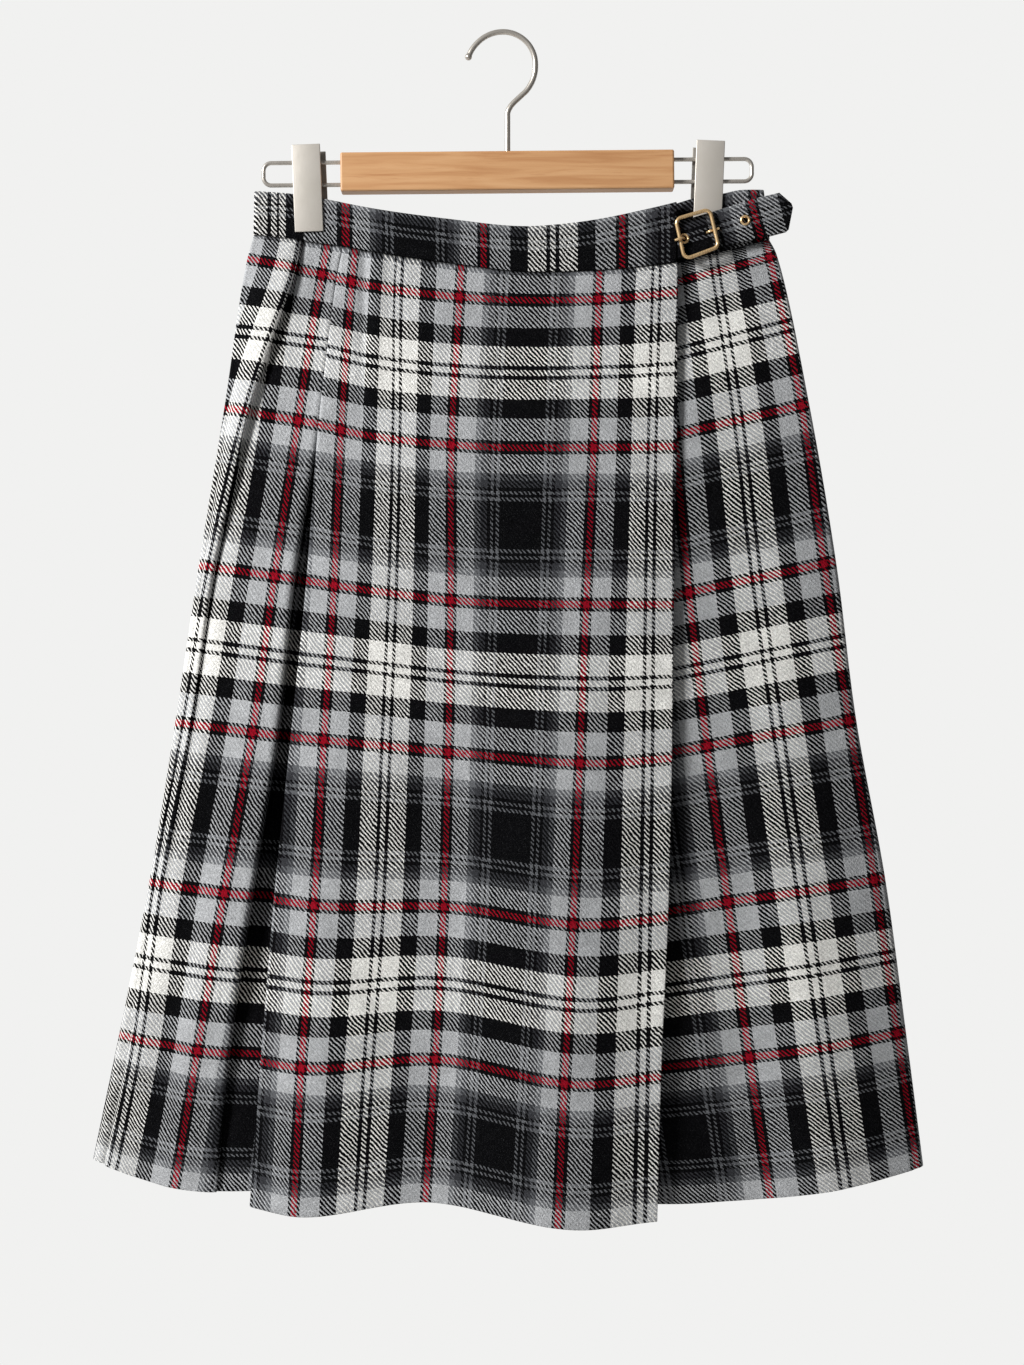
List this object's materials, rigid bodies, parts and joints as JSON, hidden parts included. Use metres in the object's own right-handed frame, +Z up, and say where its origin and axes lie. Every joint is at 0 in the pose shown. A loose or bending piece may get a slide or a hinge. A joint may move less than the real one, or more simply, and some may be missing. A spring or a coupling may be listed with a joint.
{
  "type": "checked wrap kilt skirt on a wooden clip hanger",
  "caption": "Long checked wool wrap kilt skirt with a flat front apron, open side pleat, waistband strap and wire buckle, hung by two metal clips from a wooden bar hanger with a wire hook.",
  "frame": {"origin": "underside of the crown of the hanger's hook, where a rail or peg carries it", "axes": "+Z up, the front of the skirt faces -Y, the wearer's left is at +X"},
  "size_m": [0.5893, 0.0944, 0.8412],
  "materials": {
    "checked_wool": "brushed wool twill, woven check in cream, greys, black and dark red",
    "band_wool": "the same check cut across, darker",
    "brass": "pale gold, polished",
    "steel": "satin nickel",
    "beech": "clear satin lacquer on beech"
  },
  "bodies": {
    "root": {"front_apron": "checked_wool", "left_panel": "checked_wool", "under_apron": "checked_wool", "back_panel": "checked_wool", "waistband_front": "band_wool", "waistband_under": "band_wool", "waistband_back": "band_wool", "buckle_strap": "band_wool", "buckle_frame": "brass", "buckle_prong": "brass", "eyelet_prong": "brass", "eyelet_spare": "brass", "hanger_hook": "steel", "hanger_loop_left": "steel", "hanger_loop_right": "steel", "clip_front_left": "steel", "clip_front_right": "steel", "clip_rear_left": "steel", "clip_rear_right": "steel", "clip_spring_left": "steel", "clip_spring_right": "steel", "hanger_bar": "beech"}
  },
  "joints": []
}
